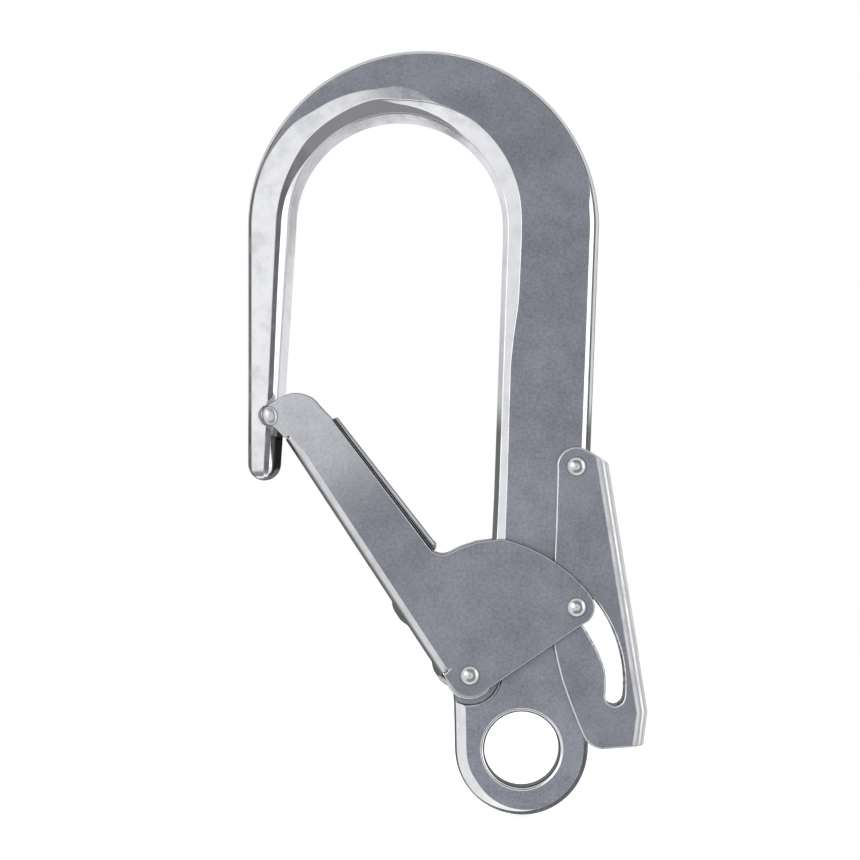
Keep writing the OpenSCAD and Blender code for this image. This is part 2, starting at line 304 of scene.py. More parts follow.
def sweep(name, path, r, sides=14):
    """A round wire along a path of 3-D points, with rounded ends."""
    pts = [Vector(p) for p in path]
    tangents = []
    for i in range(len(pts)):
        tangents.append((pts[min(i + 1, len(pts) - 1)] - pts[max(i - 1, 0)]).normalized())
    normal = tangents[0].orthogonal().normalized()
    rings = []

    def ring(centre, radius, tangent):
        side = tangent.cross(normal)
        rings.append([centre + radius * (normal * math.cos(2 * math.pi * k / sides)
                                         + side * math.sin(2 * math.pi * k / sides))
                      for k in range(sides)])

    for s in (0.95, 0.7, 0.3):
        ring(pts[0] - tangents[0] * r * 0.4 * s, r * math.sqrt(1 - s * s), tangents[0])
    for p, t in zip(pts, tangents):
        normal = (normal - t * normal.dot(t)).normalized()
        ring(p, r, t)
    for s in (0.3, 0.7, 0.95):
        ring(pts[-1] + tangents[-1] * r * 0.4 * s, r * math.sqrt(1 - s * s), tangents[-1])
    verts = [v for one in rings for v in one]
    faces = [[i * sides + k, i * sides + (k + 1) % sides,
              (i + 1) * sides + (k + 1) % sides, (i + 1) * sides + k]
             for i in range(len(rings) - 1) for k in range(sides)]
    faces += [list(range(sides)), list(range(len(verts) - sides, len(verts)))]
    return make_object(name, verts, faces)


# ---------------------------------------------------------------- hook body

# A place along the body is a distance t: millimetres up the leg, then degrees
# round the bow, then millimetres down the spine.
LEG_LENGTH = BOW_INNER[1] - TIP_Z
BOW_END = LEG_LENGTH + 180.0


def spine_t(z):
    """The place t of a height on the spine."""
    return BOW_END + BOW_INNER[1] - z


def inner_edge(t):
    """The body's inner edge at t, as x and z."""
    if t < LEG_LENGTH:
        return lookup(t, [(0, LEG_X + 2 * TIP_R), (LEG_LENGTH, BOW_INNER[0] - BOW_INNER_R)]), TIP_Z + t
    if t < BOW_END:
        return polar(BOW_INNER, BOW_INNER_R, BOW_END - t)
    z = BOW_INNER[1] - (t - BOW_END)
    return lookup(z, [(61.6, -8.73), (75, -8.1), (149.8, -5.5), (160, -5.5)]), z


def outer_edge(t):
    """The body's outer edge at t, as x and z."""
    if t < LEG_LENGTH:
        return LEG_X, TIP_Z + t
    if t < BOW_END:
        return polar(BOW_OUTER, BOW_OUTER_R, BOW_END - t)
    z = BOW_INNER[1] - (t - BOW_END)
    return lookup(z, [(58, 19.2), (88, 20.4), (153.9, 22.9)]), z


# Tilts of the hand-finished facets away from the flat face, in degrees
BRIGHT_TILT = 33.0
SHADE_TILT = 19.5
OUTER_TILT = 67.0
LINE_TILT = 44.5


def rise(width, tilt):
    """How far a facet of a given width falls away at its tilt."""
    return width * math.tan(math.radians(tilt))


def inner_profile(t):
    """Corners of the inner edge: its wall, three narrow facets and a broad one, as
    distances in from the edge and heights."""
    wall = soft_lookup(t, [(0, 1.9), (20, 2.2), (54, 2.6), (109, 3.0), (127, 3.2), (155, 3.2),
                           (173, 2.8), (191, 2.2), (218, 1.6), (245, 1.35), (345, 1.3), (365, 0.5)])
    bright = soft_lookup(t, [(0, 1.5), (18, 1.5), (54, 2.1), (80, 1.9), (98, 0.7), (108, 0.25),
                             (200, 0.15)])
    shade = soft_lookup(t, [(0, 1.5), (54, 1.5), (80, 1.7), (92, 2.0), (109, 3.6), (127, 3.7),
                            (145, 4.4), (155, 2.4), (173, 1.2), (191, 0.15)], 3.0)
    strip = soft_lookup(t, [(145, 0.1), (155, 1.2), (164, 1.9), (173, 3.1), (191, 5.0), (218, 4.7),
                            (245, 3.8), (273, 3.5), (282, 2.4), (291, 1.8), (340, 2.1), (365, 2.5)], 3.0)
    broad = soft_lookup(t, [(0, 3.4), (18, 4.7), (54, 6.6), (78, 7.6), (94, 7.4), (101, 7.0),
                            (109, 6.5), (118, 5.2), (127, 4.8), (136, 4.0), (145, 3.1), (155, 4.4),
                            (164, 3.0), (173, 0.4), (180, 0.15)], 3.0)
    broad_tilt = soft_lookup(t, [(0, 8.5), (60, 7.5), (136, 7.5), (150, 4.4), (172, 4.4)])
    out, height = [], HALF_T
    top = wall + bright + shade + strip + broad
    for width, tilt in ((broad, broad_tilt), (strip, BRIGHT_TILT),
                        (shade, SHADE_TILT), (bright, BRIGHT_TILT)):
        out.append((top, height))
        top -= width
        height -= rise(width, tilt)
    return [(0.0, 0.0), (top, height)] + out[::-1]


def outer_profile(t):
    """Corners of the outer edge: its side, a light facet, a thin shaded one and, down the
    spine, a bright strip."""
    strip = soft_lookup(t, [(238, 0.02), (243, 1.15), (345, 1.15), (365, 0.02)], 2.0)
    line = soft_lookup(t, [(0, 0.8), (90, 0.8), (110, 0.5), (225, 0.5), (243, 0.65), (345, 0.65),
                           (362, 1.1)])
    light = soft_lookup(t, [(0, 0.1), (75, 0.1), (105, 0.75), (345, 0.75), (362, 0.2)])
    side = 0.25
    height = HALF_T - rise(strip, BRIGHT_TILT)
    top = side + light + line + strip
    out = [(top + 0.02, HALF_T), (top, HALF_T), (top - strip, height)]
    height -= rise(line, LINE_TILT)
    out.append((side + light, height))
    out.append((side, height - rise(light, OUTER_TILT)))
    return [(0.0, 0.0)] + out[::-1]


def whole_profile(corners, cuts, lip=0.5):
    """The line from the front face over the edge to the back face, with soft corners."""
    flat_start, flat_y = corners[-1]
    lip += flat_start
    line = [(lip, flat_y)] + corners[::-1] + [(d, -y) for d, y in corners[1:]]
    line.append((lip, -flat_y))
    return [(d, -y) for d, y in soften(line, cuts + cuts[-2::-1])]


INNER_CUTS = [0.3, 0.3, 0.2, 0.2, 0.75, 0.3]
OUTER_CUTS = [0.1, 0.15, 0.15, 0.15, 0.4, 0.3]


def body_ring(t):
    """Points round the section at t: front over the inner edge to the back, then the outer edge."""
    a, b = Vector(inner_edge(t)), Vector(outer_edge(t))
    width = (b - a).length
    along = (b - a) / width
    inner, outer = inner_profile(t), outer_profile(t)
    squeeze = min(1.0, (width - outer[-1][0] - 0.1) / inner[-1][0])
    inner = [(d * squeeze, y) for d, y in inner]
    lip = min(0.5, (width - outer[-1][0] - inner[-1][0]) * 0.3)
    inner, outer = whole_profile(inner, INNER_CUTS, lip), whole_profile(outer, OUTER_CUTS, lip)
    ring = [(a.x + along.x * d, y, a.y + along.y * d) for d, y in inner]
    ring += [(b.x - along.x * d, y, b.y - along.y * d) for d, y in reversed(outer)]
    return ring


def tip_rings():
    """Rings that round off the tip of the leg."""
    base = body_ring(0)
    centre = LEG_X + TIP_R
    rings = []
    for degrees in (88, 80, 70, 60, 50, 40, 30, 20, 10):
        a = math.radians(degrees)
        thin = 1 - 0.5 * (1 - math.cos(a)) ** 1.2
        rings.append([(centre + (x - centre) * math.cos(a), y * thin, TIP_Z - TIP_R * math.sin(a))
                      for x, y, z in base])
    return rings


def scoop_x(z):
    """The arc of the spine's scooped outer edge, round the gate's pivot."""
    return GATE_PIVOT[0] + math.sqrt(max(SCOOP_R ** 2 - (z - GATE_PIVOT[1]) ** 2, 0))


def resample(points, step):
    """Points spaced evenly along a line."""
    pts = [Vector(p) for p in points]
    lengths = [0.0]
    for a, b in zip(pts, pts[1:]):
        lengths.append(lengths[-1] + (b - a).length)
    count = max(2, round(lengths[-1] / step))
    out, k = [], 0
    for i in range(count + 1):
        s = lengths[-1] * i / count
        while k < len(pts) - 2 and lengths[k + 1] < s:
            k += 1
        span = max(lengths[k + 1] - lengths[k], 1e-9)
        out.append(pts[k].lerp(pts[k + 1], (s - lengths[k]) / span))
    return out


def relax(points, rounds):
    """Smooths a line and keeps its ends."""
    for _ in range(rounds):
        points = ([points[0]] + [(a + b * 2 + c) / 4 for a, b, c in zip(points, points[1:], points[2:])]
                  + [points[-1]])
    return points


def foot_outline():
    """Edge of the body's foot: from the spine's inner edge down round the eye and up to its
    outer edge."""
    left = [inner_edge(spine_t(SPLIT_Z))] + arc(GATE_PIVOT, BOSS_R, 162.8, 192, 5)
    left += [(-19.95, 13.5), (-19.75, 4)]
    eye = arc((0, 0), EYE_OUTER_R, 180, 360, 60)
    right = [(19.65, 4)] + [(scoop_x(z), z) for z in (15.5, 19, 23, 27, 31, 35, 38, 41, 43.4)]
    right += [(12.6, 46), (15.2, 50), (18, 54), (19.1, 58), outer_edge(spine_t(SPLIT_Z))]
    return relax(resample(left + eye + right, 0.9), 6)


def hook_mesh():
    """The body as one skin: rings from the tip to the foot of the spine, then a foot
    whose columns run from the front face round the edge to the back face.
    """
    rings = tip_rings()
    stations = [LEG_LENGTH * i / 46 for i in range(46)]
    stations += [LEG_LENGTH + 1.5 * i for i in range(120)]
    spine = BOW_INNER[1] - SPLIT_Z
    stations += [BOW_END + spine * i / 52 for i in range(53)]
    rings += [body_ring(t) for t in stations]
    n = len(rings[0])
    half_n = n // 2
    verts = [p for ring in rings for p in ring]
    faces = [[i * n + k, i * n + (k + 1) % n, (i + 1) * n + (k + 1) % n, (i + 1) * n + k]
             for i in range(len(rings) - 1) for k in range(n)]
    faces.append(list(range(n)))
    last = (len(rings) - 1) * n
    outline = foot_outline()
    columns = [[last + k for k in range(half_n)]]
    count = len(outline) - 1
    for i in range(1, count):
        p = outline[i]
        d = (outline[i + 1] - outline[i - 1]).normalized()
        normal = Vector((-d.y, d.x))
        if i < 6:
            normal = normal.lerp(Vector((1, 0)), 1 - i / 6).normalized()
        if count - i < 6:
            normal = normal.lerp(Vector((-1, 0)), 1 - (count - i) / 6).normalized()
        t = spine_t(max(p.y, 0))
        turn = min(1.0, max(0.0, (i / count - 0.40) / 0.12))
        sides = zip(inner_profile(t), outer_profile(t), INNER_CUTS, OUTER_CUTS)
        mixed = [(Vector(a).lerp(Vector(b), turn), c + (d - c) * turn) for a, b, c, d in sides]
        columns.append([])
        for d_in, y in whole_profile([m[0] for m in mixed], [m[1] for m in mixed]):
            columns[-1].append(len(verts))
            verts.append((p.x + normal.x * d_in, y, p.y + normal.y * d_in))
    columns.append([last + k for k in range(n - 1, half_n - 1, -1)])
    for a, b in zip(columns, columns[1:]):
        faces += [[a[k], a[k + 1], b[k + 1], b[k]] for k in range(half_n - 1)]
    faces.append([c[0] for c in columns])
    faces.append([c[-1] for c in columns][::-1])
    return verts, faces


def rim_cutter(name, r, half_t, round_r, at=(0, 0)):
    """A plug that bores a hole and rounds its rims."""
    top = arc((r + round_r, half_t - round_r), round_r, 180, 90, 8)
    top += [(r + round_r + 0.02, half_t + 1), (0, half_t + 1)]
    return lathe(name, [(x, -y) for x, y in reversed(top)] + top, at=at)


def bore_cutter(name, r, at):
    """A plug that goes right through the body."""
    reach = HALF_T + 3
    return lathe(name, [(0, -reach), (r, -reach), (r, reach), (0, reach)], 48, at)


def hook_body():
    verts, faces = hook_mesh()
    body = make_object("hook_forging", verts, faces)
    spring_foot = polar(GATE_PIVOT, COIL_R, COIL_FOOT)
    cutters = [rim_cutter("eye", EYE_R, HALF_T, EYE_RIM_R),
               bore_cutter("gate_bore", GATE_SLEEVE_R + SLEEVE_GAP, GATE_PIVOT),
               bore_cutter("lever_bore", LEVER_SLEEVE_R + SLEEVE_GAP, LEVER_PIVOT)]
    floor_y = HALF_T - RECESS_D
    for side in (-1, 1):
        recess = [(0, floor_y), (RECESS_R - 0.3, floor_y), (RECESS_R, floor_y + 0.3),
                  (RECESS_R, HALF_T - 0.4), (RECESS_R + 2.15, HALF_T + 1), (0, HALF_T + 1)]
        cutters.append(lathe("recess", recess, 96, GATE_PIVOT, side))
        hole = [(0, 2), (FOOT_HOLE_R, 2), (FOOT_HOLE_R, 9), (0, 9)]
        cutters.append(lathe("foot_hole", hole, 24, spring_foot, side))
    pocket = lathe("pocket", [(0, 0), (POCKET_R, 0), (POCKET_R, 20), (0, 20)], 48)
    turn = (Matrix.Translation((POCKET_FLOOR_X * MM, 0, POCKET_Z * MM))
            @ Matrix.Rotation(math.radians(-90), 4, "Z"))
    pocket.data.transform(turn)
    cut(body, cutters + [pocket])
    tidy_mesh(body, 32, 0.005)
    return body


# ---------------------------------------------------------------- folded sheet


def round_fold(half, bend, steep=0.0, run=0.0):
    """Section of a fold from the cheek to the web: distance in from the web, and Y. It can
    start with a straight slope of a given run and steepness."""
    a0 = math.radians(steep)
    middle = half - rise(run, steep) - bend * math.cos(a0)
    fold = [(bend * (1 - math.sin(a0)) + run, half)] if run else []
    for i in range(9):
        a = a0 + (math.pi / 2 - a0) * i / 8
        fold.append((bend * (1 - math.sin(a)), middle + bend * math.cos(a)))
    return fold


def folded_sheet(name, cheek, web, inward, fold, sheet, place, drop=None, press=None, web_steps=8):
    """A channel folded from sheet. Its outer skin is a cheek outline that joins each
    end of the web line, then the skin gets its thickness."""
    half, flat = fold[0][1], fold[-1][1]
    line = list(fold)
    line += [(0.0, flat - 2 * flat * i / web_steps) for i in range(1, web_steps)]
    line += [(d, -y) for d, y in fold][::-1]
    verts, faces = [], []
    for p, d_in in zip(web, inward):
        for inset, y in line:
            extra = press(p, y) if press else 0.0
            q = (p[0] + d_in[0] * (inset - extra), p[1] + d_in[1] * (inset - extra))
            verts.append(place(q, y))
    n = len(line)
    for i in range(len(web) - 1):
        for k in range(n - 1):
            middle_y = (line[k][1] + line[k + 1][1]) / 2
            if drop and drop(web[i], web[i + 1], middle_y):
                continue
            faces.append([i * n + k, i * n + k + 1, (i + 1) * n + k + 1, (i + 1) * n + k])
    first = min(f[0] // n for f in faces if f[0] % n == 0)
    last = max(f[3] // n for f in faces if f[0] % n == 0)
    for k, y in ((0, half), (n - 1, -half)):
        start = len(verts)
        verts += [place(p, y) for p in cheek]
        faces.append([i * n + k for i in range(first, last + 1)] + list(range(start, len(verts))))
    obj = make_object(name, verts, faces)
    used = bmesh.new()
    used.from_mesh(obj.data)
    loose = [v for v in used.verts if not v.link_faces]
    bmesh.ops.delete(used, geom=loose, context="VERTS")
    used.to_mesh(obj.data)
    used.free()
    face_out(obj)
    mod = obj.modifiers.new("thickness", "SOLIDIFY")
    mod.thickness = sheet * MM
    mod.offset = -1
    mod.use_even_offset = True
    apply_modifiers(obj)
    return obj


def face_out(obj):
    """Turns an open skin so that its cheeks face away from the middle plane."""
    widest = max(obj.data.polygons, key=lambda f: f.area)
    if widest.normal.y * widest.center.y < 0:
        bm = bmesh.new()
        bm.from_mesh(obj.data)
        bmesh.ops.reverse_faces(bm, faces=bm.faces)
        bm.to_mesh(obj.data)
        bm.free()


def gate_place(p, y):
    """A point of the gate's plane: u runs to the nose, v to the open side."""
    u, v = p
    x = GATE_PIVOT[0] + u * math.cos(GATE_ANGLE) + v * math.sin(GATE_ANGLE)
    z = GATE_PIVOT[1] + u * math.sin(GATE_ANGLE) - v * math.cos(GATE_ANGLE)
    return x, y, z


def gate_uv(p):
    """A point of the X, Z plane in the gate's own plane."""
    dx, dz = p[0] - GATE_PIVOT[0], p[1] - GATE_PIVOT[1]
    return (dx * math.cos(GATE_ANGLE) + dz * math.sin(GATE_ANGLE),
            dx * math.sin(GATE_ANGLE) - dz * math.cos(GATE_ANGLE))


LOCK_UV = gate_uv(LOCK_POINT)
WEB_START = 4.7
WEB_END = 87.6
BUMPS = (26.4, 4.9)
BUMP_RUN = 4.3
BUMP_HALF = 5.0
BUMP_H = 1.1
TONGUE = 3.8
PLATE_R = 41.2
PLATE_GROWTH = 1.3
LUG_AT = (95.8, -7.1)
LUG_RADII = (2.45, 1.5, 3.1)


def gate_press(p, y):
    """How far the two bumps push the web out."""
    out = 0.0
    for u in BUMPS:
        along = 1 - ((p[0] - u) / BUMP_RUN) ** 2
        across = 1 - (abs(y) / BUMP_HALF) ** 4
        if along > 0 and across > 0:
            out = max(out, BUMP_H * min(1.0, along * 1.15) ** 0.8 * across ** 0.5)
    return out


def gate_drop(a, b, y):
    """Beside the pivot the web is only a narrow tongue."""
    return (a[0] + b[0]) / 2 < WEB_START and abs(y) > TONGUE


def lug_ball(name, uv, y, radii):
    """An egg-shaped form lying across the gate's nose where its lug begins."""
    bm = bmesh.new()
    bmesh.ops.create_uvsphere(bm, u_segments=32, v_segments=24, radius=1)
    mesh = bpy.data.meshes.new(name)
    bm.to_mesh(mesh)
    bm.free()
    x, y, z = gate_place(uv, y)
    mesh.transform(Matrix.Translation(Vector((x, y, z)) * MM)
                   @ Matrix.Rotation(math.radians(-12), 4, "Y")
                   @ Matrix.Diagonal([r * MM for r in radii] + [1]))
    ball = bpy.data.objects.new(name, mesh)
    bpy.context.scene.collection.objects.link(ball)
    return ball


def gate_channel():
    web_u = [0.5, 1.9, 3.3, WEB_START]
    web_u += [WEB_START + (WEB_END - WEB_START) * i / 83 for i in range(1, 84)]
    web = [(u, WEB_V) for u in web_u]
    inward = [(0, lookup(u, [(WEB_END - 6, 1), (WEB_END, 0.55)])) for u in web_u]
    cheek = [(87.8, -5.8), (87.95, -7.15), (90, -7.5), (92.2, -7.9), (94.4, -8.8)]
    cheek += arc((96.5, -7.6), 1.95, -105, 5, 8)
    cheek += [(98.8, -5.3)]
    cheek += arc((90.6, -1.5), 8, 0, 90, 12)
    cheek += [(85, 7.5), (38.4, 10.6)]
    cheek += arc((38.2, 15.6), 5.0, 262, 186, 7)
    cheek += [(32.9, 18.2), (31.6, 23.2)]
    cheek += [polar((0, 0), PLATE_R + PLATE_GROWTH * (i / 24) ** 2, 46.5 + 41.5 * i / 24)
              for i in range(25)]
    cheek += arc(LOCK_UV, 5.3, 96, 190, 10)
    cheek += arc((0, 0), 6.4, 180, 275, 14)
    cheek += [(3.0, -6.45), (4.4, -6.4)]
    gate = folded_sheet("gate_folded_channel", cheek, web, inward, round_fold(GATE_HALF, GATE_BEND),
                        SHEET, gate_place, gate_drop, gate_press, 16)
    add_bevel(gate, 0.4, 3)
    cut(gate, [lug_ball("boss", LUG_AT, side * (GATE_HALF - 0.5), LUG_RADII) for side in (-1, 1)],
        "UNION")
    tidy_mesh(gate, 30)
    return gate


LINER_HALF = GATE_HALF - SHEET - 0.02
LINER_V = WEB_V + SHEET + 0.02
LINER_SPAN = (33.5, 84.9)


def vee_groove(start, end, side, half_width=0.5, depth=0.9):
    """A V-shaped cutter along a line of the gate's plane, in one cheek of the liner."""
    a, b = Vector(start), Vector(end)
    across = (b - a).normalized()
    across = Vector((-across.y, across.x)) * half_width
    verts, top = [], 1.2
    for p in (a, b):
        for offset, y in ((-1, 0), (-1, top), (1, top), (1, 0), (0, -depth)):
            q = p + across * offset
            verts.append(gate_place(q, side * (LINER_HALF + y)))
    faces = [[0, 1, 2, 3, 4], [5, 6, 7, 8, 9]]
    faces += [[i, (i + 1) % 5, 5 + (i + 1) % 5, 5 + i] for i in range(5)]
    return make_object("groove", verts, faces)


def gate_liner():
    start, end = LINER_SPAN
    web = [(start + (end - 5 - start) * i / 10, LINER_V) for i in range(11)]
    cheek = [(end, LINER_V + 3.5), (end, 8.9)] + arc((37.8, 11.5), 1.4, 60, 215, 10) + [(start, 4)]
    liner = folded_sheet("gate_inner_liner", cheek, web, [(0, 1)] * 11,
                         round_fold(LINER_HALF, SHEET), LINER_SHEET, gate_place)
    cut(liner, [vee_groove((36, 11.15), (88, 7.65), side) for side in (-1, 1)])
    add_bevel(liner, 0.3, 2, 55)
    tidy_mesh(liner, 30)
    return liner


LEVER_TRAVEL = joints["lever_squeeze"]["range_deg"][1]
GATE_TRAVEL = joints["gate_swing"]["range_deg"][1]
KNEE, TOE, SHOULDER = (37.1, 11.0), (35.8, 1.0), (25.4, 84.5)
LOCK_R = math.dist(LOCK_POINT, GATE_PIVOT)
LOCK_START = math.degrees(math.atan2(LOCK_POINT[1] - GATE_PIVOT[1], LOCK_POINT[0] - GATE_PIVOT[0]))
SLOT_R = 2.75
SLOT_SHIFT = 0.45
PIN_ROOM = 1.75


def pin_place(g):
    """Where the lock pin is in the lever when the gate has turned by g degrees."""
    p = polar(GATE_PIVOT, LOCK_R, LOCK_START - g)
    return turned(p, LEVER_PIVOT, LEVER_TRAVEL * g / GATE_TRAVEL)


def prism(name, points, half):
    n = len(points)
    verts = [(x, y, z) for y in (-half, half) for x, z in points]
    faces = [list(range(n)), list(range(n, 2 * n))[::-1]]
    faces += [[i, (i + 1) % n, n + (i + 1) % n, n + i] for i in range(n)]
    return make_object(name, verts, faces)


def slot_cutter():
    """The curved slot: an even arc round the gate's pivot for a squeezed lever, and the
    way the lock pin takes inside that arc."""
    centre = turned(GATE_PIVOT, LEVER_PIVOT, LEVER_TRAVEL)
    start = LOCK_START + LEVER_TRAVEL
    top, bottom = start + 0.3, start - GATE_TRAVEL - 3.6
    steps = 60
    circles = [(polar(centre, LOCK_R - SLOT_SHIFT, bottom + (top - bottom) * i / steps), SLOT_R)
               for i in range(steps + 1)]
    circles += [(pin_place(GATE_TRAVEL * i / steps), PIN_ROOM) for i in range(steps + 1)]
    spans = []
    for i in range(481):
        angle = bottom - 6 + (top - bottom + 14) * i / 480
        ray = Vector(polar((0, 0), 1, angle))
        hits = []
        for at, r in circles:
            to_centre = Vector(at) - Vector(centre)
            aside = r * r - (to_centre.length_squared - to_centre.dot(ray) ** 2)
            if aside > 0:
                hits += [to_centre.dot(ray) - math.sqrt(aside), to_centre.dot(ray) + math.sqrt(aside)]
        if hits:
            spans.append((polar(centre, min(hits), angle), polar(centre, max(hits), angle)))
    outline = [far for near, far in spans] + [near for near, far in reversed(spans)]
    points = relax(resample(outline + outline[:1], 0.45), 4)
    return prism("slot", [tuple(p) for p in points[:-1]], 20)


def along_edge(edge, normal):
    """A step along an edge that goes one unit in along a normal."""
    return edge / edge.dot(normal)


def lever_channel():
    knee, toe, shoulder = Vector(KNEE), Vector(TOE), Vector(SHOULDER)
    low, high = (knee - toe).normalized(), (shoulder - knee).normalized()
    low_in, high_in = Vector((-low.y, low.x)), Vector((-high.y, high.x))
    web = [toe.lerp(knee, i / 5) for i in range(5)] + [knee.lerp(shoulder, i / 30) for i in range(31)]
    inward = [low_in] * 5 + [high_in] * 31
    blend = low_in + high_in
    inward[5] = blend / blend.dot(high_in)
    inward[0] = along_edge(Vector((-11.9, -1.0)), low_in)
    for i, share in ((-1, 1.0), (-2, 0.4)):
        inward[i] = high_in.lerp(along_edge(Vector((-4.8, 2.83)), high_in), share)
    cheek = arc(LEVER_PIVOT, 5.8, 62, 190, 14)
    cheek += [(9.8, 64.5), (9.3, 55.1), (9.2, 30.4), (10.1, 26.3), (11.6, 20.4), (13.6, 14.6)]
    cheek += [(16.5, 7.2), (17.8, 4.2), (18.6, 2.8), (19.8, 1.55), (21.4, 0.6), (23.4, 0.02)]
    lever = folded_sheet("lock_lever_channel", cheek, web, inward,
                         round_fold(LEVER_HALF, LEVER_BEND, LEVER_SLOPE, LEVER_RUN), SHEET,
                         lambda p, y: (p[0], y, p[1]))
    split_wide(lever)
    cut(lever, [slot_cutter()])
    add_bevel(lever, 0.62, 3)
    join_flats(lever)
    tidy_mesh(lever, 30)
    return lever


# ---------------------------------------------------------------- rivets, sleeves, springs


def domed_rivet(name, at, shank_r, half, head_r=2.9, head_h=1.26, rim_h=0.34):
    """A rivet with a low dome over a short rim at each end."""
    ball_r = (head_r ** 2 + head_h ** 2) / (2 * head_h)
    rim = math.degrees(math.asin((head_r - 0.1) / ball_r))
    top = half + rim_h + head_h
    head = [polar((0, top - ball_r), ball_r, 90 - rim * (1 - i / 14)) for i in range(14)]
    rim_line = [(shank_r, half), (head_r - 0.1, half), (head_r, half + 0.1), (head_r, half + rim_h)]
    head = rim_line + head + [(0, top)]
    return lathe(name, [(r, -y) for r, y in reversed(head)] + head, 64, at)


def sleeve(name, at, outer_r, inner_r, length):
    h, c = length / 2, 0.2
    loop = [(inner_r, -h), (outer_r - c, -h), (outer_r, -h + c), (outer_r, h - c),
            (outer_r - c, h), (inner_r, h), (inner_r, -h)]
    return lathe(name, loop, 48, at)


def gate_spring(name, side):
    """A torsion spring: a foot in the body, a coil, and an arm along the inside of the web."""
    y_foot, y_low, y_high = 4.2, 5.08, 7.2
    foot, leave = math.degrees(GATE_ANGLE) - COIL_FOOT, 311.3 + 360
    path = [(polar((0, 0), COIL_R, foot), y) for y in (y_foot - 2, y_foot - 1, y_foot)]
    steps = 96
    for i in range(steps + 1):
        s = i / steps
        angle = foot + 3 + (leave - foot - 3) * s
        y = y_foot + (y_low - y_foot) * min(1.0, s * 15) + (y_high - y_low) * s
        path.append((polar((0, 0), COIL_R, angle), y))
    arm_v = WEB_V + SHEET + COIL_WIRE_R + 0.05
    path += [((5.2, arm_v + 0.08), y_high), ((6.6, arm_v + 0.02), y_high)]
    path += [((8.0 + 20.0 * i / 12, arm_v), y_high) for i in range(13)]
    points = [gate_place(p, side * y) for p, y in path]
    return sweep(name, relax([Vector(p) for p in points], 2), COIL_WIRE_R)


def lever_spring():
    """A coil along X with a closed turn at each end."""
    low, high = (corner.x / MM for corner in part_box("lever_spring"))
    steps, closed = 24, 0.09
    path = []
    total = PUSH_TURNS * steps
    for i in range(total + 1):
        s = i / total
        if s < closed:
            along = s / closed * 0.05
        elif s > 1 - closed:
            along = 1 - (1 - s) / closed * 0.05
        else:
            along = 0.05 + (s - closed) / (1 - 2 * closed) * 0.9
        a = 2 * math.pi * i / steps
        x = low + PUSH_WIRE_R + (high - low - 2 * PUSH_WIRE_R) * along
        path.append((x, PUSH_COIL_R * math.cos(a), POCKET_Z + PUSH_COIL_R * math.sin(a)))
    return sweep("lever_push_spring", path, PUSH_WIRE_R, 10)


# ---------------------------------------------------------------- materials


def node_material(name):
    material = bpy.data.materials.new(name)
    material.use_nodes = True
    nodes = material.node_tree.nodes
    nodes.clear()
    out = nodes.new("ShaderNodeOutputMaterial")
    shader = nodes.new("ShaderNodeBsdfPrincipled")
    material.node_tree.links.new(shader.outputs["BSDF"], out.inputs["Surface"])
    return material, nodes, material.node_tree.links, shader


def noise(nodes, links, coords, scale, detail=3.0, rough=0.5):
    texture = nodes.new("ShaderNodeTexNoise")
    texture.inputs["Scale"].default_value = scale
    texture.inputs["Detail"].default_value = detail
    texture.inputs["Roughness"].default_value = rough
    links.new(coords, texture.inputs["Vector"])
    return texture.outputs["Fac"]


def remap(nodes, links, value, low, high, to_low, to_high):
    node = nodes.new("ShaderNodeMapRange")
    node.interpolation_type = "SMOOTHSTEP"
    links.new(value, node.inputs["Value"])
    for key, number in (("From Min", low), ("From Max", high), ("To Min", to_low), ("To Max", to_high)):
        node.inputs[key].default_value = number
    return node.outputs["Result"]


def blend_colour(nodes, links, factor, a, b):
    node = nodes.new("ShaderNodeMix")
    node.data_type = "RGBA"
    links.new(factor, node.inputs["Factor"])
    for socket, colour in ((node.inputs[6], a), (node.inputs[7], b)):
        if isinstance(colour, tuple):
            socket.default_value = (*colour, 1)
        else:
            links.new(colour, socket)
    return node.outputs[2]


def math_node(nodes, links, operation, a, b):
    node = nodes.new("ShaderNodeMath")
    node.operation = operation
    for socket, value in zip(node.inputs, (a, b)):
        if isinstance(value, (int, float)):
            socket.default_value = value
        else:
            links.new(value, socket)
    return node.outputs["Value"]


def upright(nodes, links):
    """How squarely a surface faces along Y."""
    geometry = nodes.new("ShaderNodeNewGeometry")
    split = nodes.new("ShaderNodeSeparateXYZ")
    links.new(geometry.outputs["Normal"], split.inputs["Vector"])
    return math_node(nodes, links, "ABSOLUTE", split.outputs["Y"], 0)


def face_share(nodes, links, wander, low=0.9935, high=0.9985):
    """1 on the flat faces across Y, 0 on bevels and edges, with a wandering border."""
    shift = remap(nodes, links, wander, 0.3, 0.7, -0.0005, 0.0005)
    facing = math_node(nodes, links, "ADD", upright(nodes, links), shift)
    return remap(nodes, links, facing, low, high, 0, 1)


def mix_number(nodes, links, factor, a, b):
    node = nodes.new("ShaderNodeMix")
    node.data_type = "FLOAT"
    for socket, value in ((node.inputs["Factor"], factor), (node.inputs[2], a), (node.inputs[3], b)):
        if isinstance(value, (int, float)):
            socket.default_value = value
        else:
            links.new(value, socket)
    return node.outputs[0]


def along(nodes, links, coords, start, end):
    """Runs smoothly from 0 at one point of the X, Z plane to 1 at another."""
    a, b = Vector((start[0], 0, start[1])) * MM, Vector((end[0], 0, end[1])) * MM
    d = (b - a) / (b - a).length_squared
    node = nodes.new("ShaderNodeVectorMath")
    node.operation = "DOT_PRODUCT"
    links.new(coords, node.inputs[0])
    node.inputs[1].default_value = d
    share = math_node(nodes, links, "SUBTRACT", node.outputs["Value"], a.dot(d))
    return remap(nodes, links, share, 0, 1, 0, 1)


